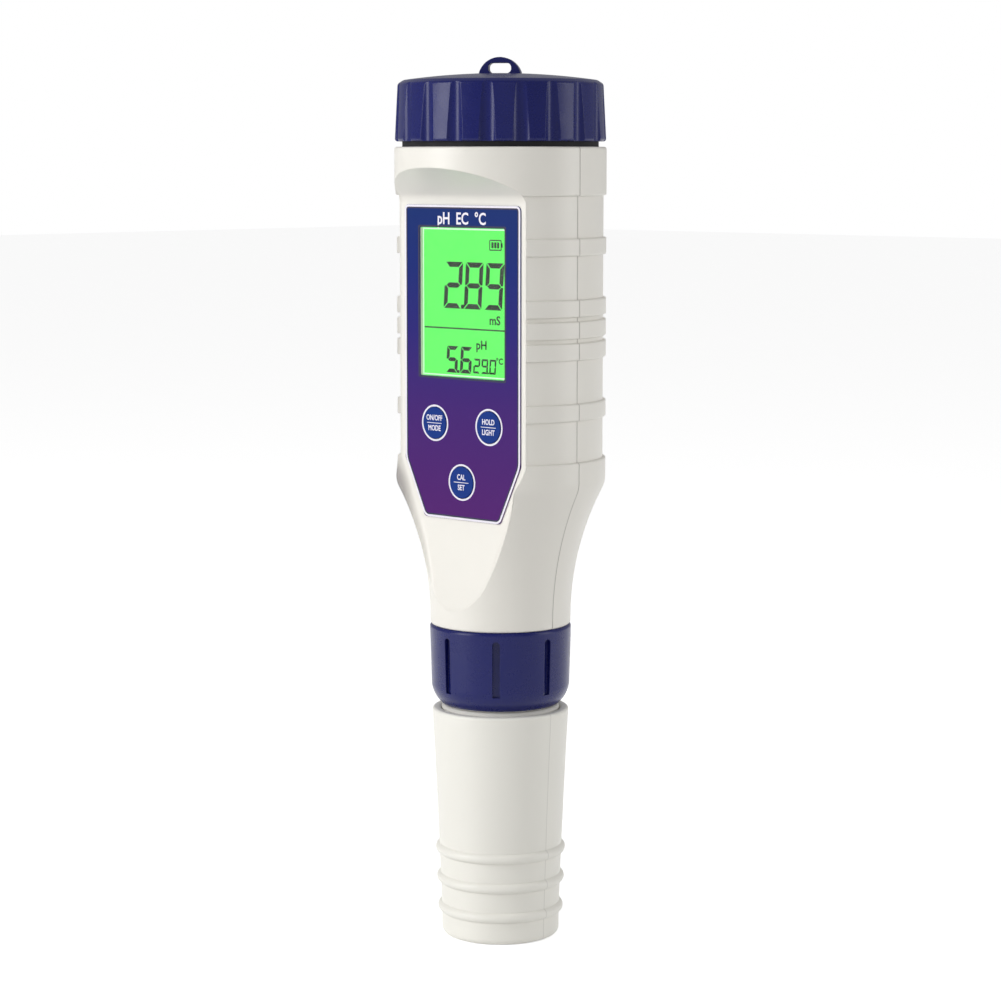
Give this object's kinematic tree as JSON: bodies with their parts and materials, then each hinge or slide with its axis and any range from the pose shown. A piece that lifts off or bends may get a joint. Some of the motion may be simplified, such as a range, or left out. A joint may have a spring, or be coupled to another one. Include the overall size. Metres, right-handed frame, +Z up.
{
  "type": "water quality tester",
  "caption": "Pen type water quality tester: round grip housing with lit display and push buttons, screw battery cap with cord loop, screw collar, plug-in probe and protective cap.",
  "frame": {"origin": "centre of the bottom of the protective cap, on the surface that it stands on", "axes": "+Z up along the tester, the display faces -Y, +X is the viewer's right"},
  "size_m": [0.04, 0.04, 0.1681],
  "materials": {
    "cap_blue": "satin, fine grain",
    "collar_blue": "satin",
    "seal_rubber": "matt",
    "spring_steel": "plated",
    "shell_white": "satin",
    "label_film": "semi gloss print",
    "window_clear": "clear",
    "display_glass": "lit green",
    "diffuser": "milky",
    "frame_black": "matt",
    "strip_rubber": "matt",
    "board_green": "solder mask",
    "chip_black": "matt",
    "screw_steel": "plated",
    "switch_metal": "plated",
    "stem_black": "matt",
    "button_blue": "satin",
    "tray_black": "matt",
    "cell_steel": "bright",
    "socket_black": "matt",
    "pin_brass": "bright",
    "probe_white": "satin",
    "bulb_glass": "clear",
    "wire_silver": "dull",
    "junction_ceramic": "matt",
    "pin_steel": "bright",
    "cap_white": "satin",
    "sponge_foam": "open foam"
  },
  "bodies": {
    "housing": {"front_shell": "shell_white", "rear_shell": "shell_white", "panel_label": "label_film", "display_window": "window_clear", "lcd_panel": "display_glass", "backlight_panel": "diffuser", "display_frame": "frame_black", "contact_strips": "strip_rubber", "main_board": "board_green", "board_chips": "chip_black", "board_screws": "screw_steel", "key_switches": "switch_metal", "battery_tray": "tray_black", "button_cells": "cell_steel", "battery_contacts": "spring_steel", "probe_socket": "socket_black"},
    "cap_seal": {"cap_seal_ring": "seal_rubber"},
    "battery_cap": {"battery_cap": "cap_blue", "cap_contact_plate": "spring_steel"},
    "button_left": {"button_left": "button_blue", "switch_stem_left": "stem_black"},
    "button_right": {"button_right": "button_blue", "switch_stem_right": "stem_black"},
    "button_lower": {"button_lower": "button_blue", "switch_stem_lower": "stem_black"},
    "probe": {"probe_body": "probe_white", "probe_plug_ring": "seal_rubber", "probe_cap_ring": "seal_rubber", "ph_bulb": "bulb_glass", "ph_inner_wire": "wire_silver", "reference_junction": "junction_ceramic", "conductivity_pins": "pin_steel", "temperature_sensor": "pin_steel", "probe_pins": "pin_brass"},
    "collar": {"locking_collar": "collar_blue"},
    "protective_cap": {"protective_cap": "cap_white", "storage_sponge": "sponge_foam"}
  },
  "joints": [
    {"name": "cap_lift", "type": "slide", "parent": "housing", "child": "cap_seal", "axis": [0, 0, 1], "range_m": [0, 0.007]},
    {"name": "cap_turn", "type": "hinge", "parent": "cap_seal", "child": "battery_cap", "pos_m": [0, 0, 0.158], "axis": [0, 0, 1], "range_deg": [0, 1008]},
    {"name": "probe_drop", "type": "slide", "parent": "housing", "child": "probe", "axis": [0, 0, -1], "range_m": [0, 0.0075]},
    {"name": "collar_turn", "type": "hinge", "parent": "probe", "child": "collar", "pos_m": [0, 0, 0.053], "axis": [0, 0, -1], "range_deg": [0, 1080]},
    {"name": "protective_cap_pull", "type": "slide", "parent": "probe", "child": "protective_cap", "axis": [0, 0, -1], "range_m": [0, 0.045]},
    {"name": "button_left_press", "type": "slide", "parent": "housing", "child": "button_left", "axis": [0, 1, 0], "range_m": [0, 0.0003], "stiffness_N_per_m": 400},
    {"name": "button_right_press", "type": "slide", "parent": "housing", "child": "button_right", "axis": [0, 1, 0], "range_m": [0, 0.0003], "stiffness_N_per_m": 400},
    {"name": "button_lower_press", "type": "slide", "parent": "housing", "child": "button_lower", "axis": [0, 1, 0], "range_m": [0, 0.0003], "stiffness_N_per_m": 400}
  ],
  "couplings": [
    {"joint": "cap_lift", "follows": "cap_turn", "m_per_rad": 0.00039789},
    {"joint": "probe_drop", "follows": "collar_turn", "m_per_rad": 0.00039789}
  ]
}
